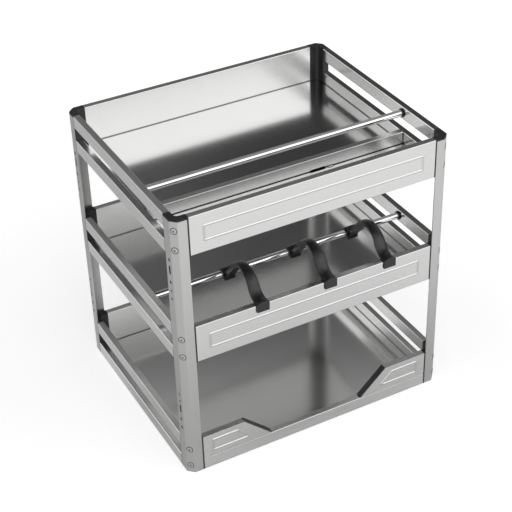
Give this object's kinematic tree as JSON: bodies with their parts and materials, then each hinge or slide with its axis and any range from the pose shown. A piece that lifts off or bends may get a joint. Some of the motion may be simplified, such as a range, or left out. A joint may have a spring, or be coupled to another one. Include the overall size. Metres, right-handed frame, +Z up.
{
  "type": "spice rack organizer",
  "caption": "Stacked open trays of folded sheet steel between chamfered corner posts, with cross rods and swing-up dividers that slide to keep bottles apart.",
  "frame": {"origin": "middle of the whole rack's footprint, on the surface it stands on", "axes": "+X along the embossed front to the right, the front faces -Y, +Z up"},
  "size_m": [0.43, 0.3564, 0.435],
  "materials": {
    "wall_steel": "fine grain brushed along each wall",
    "post_steel": "satin, brushed up and down",
    "floor_steel": "brushed sheet that mirrors the walls softly",
    "rod_chrome": "polished",
    "screw_steel": "bright zinc",
    "block_plastic": "black, fine grain",
    "divider_plastic": "black, satin"
  },
  "bodies": {
    "rack": {"post_front_left": "post_steel", "post_front_right": "post_steel", "post_back_left": "post_steel", "post_back_right": "post_steel", "block_bottom_front_left": "block_plastic", "block_bottom_front_right": "block_plastic", "block_bottom_back_left": "block_plastic", "block_bottom_back_right": "block_plastic", "block_middle_front_left": "block_plastic", "block_middle_front_right": "block_plastic", "block_middle_back_left": "block_plastic", "block_middle_back_right": "block_plastic", "block_top_front_left": "block_plastic", "block_top_front_right": "block_plastic", "block_top_back_left": "block_plastic", "block_top_back_right": "block_plastic", "back_wall_bottom": "wall_steel", "back_wall_middle": "wall_steel", "back_wall_top": "wall_steel", "front_panel_top": "wall_steel", "front_panel_middle": "wall_steel", "front_sill": "wall_steel", "front_wing_left": "wall_steel", "front_wing_right": "wall_steel", "cutout_trim_left": "block_plastic", "cutout_trim_right": "block_plastic", "side_wall_bottom_left": "wall_steel", "side_wall_bottom_right": "wall_steel", "side_wall_middle_left": "wall_steel", "side_wall_middle_right": "wall_steel", "side_wall_top_left": "wall_steel", "side_wall_top_right": "wall_steel", "side_rail_bottom_left": "wall_steel", "side_rail_bottom_right": "wall_steel", "side_rail_middle_left": "wall_steel", "side_rail_middle_right": "wall_steel", "side_rail_top_left": "wall_steel", "side_rail_top_right": "wall_steel", "floor_bottom": "floor_steel", "floor_middle": "floor_steel", "floor_top": "floor_steel", "rod_top": "rod_chrome", "rod_middle": "rod_chrome", "ferrules_top": "block_plastic", "ferrules_middle": "block_plastic", "partition": "wall_steel", "screws_front_left": "screw_steel", "screws_front_right": "screw_steel", "screws_back_left": "screw_steel", "screws_back_right": "screw_steel"},
    "sleeve_left": {"divider_sleeve_left": "divider_plastic"},
    "arm_left": {"divider_arm_left": "divider_plastic"},
    "sleeve_centre": {"divider_sleeve_centre": "divider_plastic"},
    "arm_centre": {"divider_arm_centre": "divider_plastic"},
    "sleeve_right": {"divider_sleeve_right": "divider_plastic"},
    "arm_right": {"divider_arm_right": "divider_plastic"}
  },
  "joints": [
    {"name": "left_divider_slide", "type": "slide", "parent": "rack", "child": "sleeve_left", "axis": [1, 0, 0], "range_m": [-0.094, 0.044]},
    {"name": "left_divider_swing", "type": "hinge", "parent": "sleeve_left", "child": "arm_left", "pos_m": [-0.0875, -0.06975, 0.249], "axis": [-1, 0, 0], "range_deg": [0, 183]},
    {"name": "centre_divider_slide", "type": "slide", "parent": "rack", "child": "sleeve_centre", "axis": [1, 0, 0], "range_m": [-0.044, 0.0385]},
    {"name": "centre_divider_swing", "type": "hinge", "parent": "sleeve_centre", "child": "arm_centre", "pos_m": [0.0213, -0.06975, 0.249], "axis": [-1, 0, 0], "range_deg": [0, 183]},
    {"name": "right_divider_slide", "type": "slide", "parent": "rack", "child": "sleeve_right", "axis": [1, 0, 0], "range_m": [-0.0385, 0.061]},
    {"name": "right_divider_swing", "type": "hinge", "parent": "sleeve_right", "child": "arm_right", "pos_m": [0.1196, -0.06975, 0.249], "axis": [-1, 0, 0], "range_deg": [0, 183]}
  ]
}
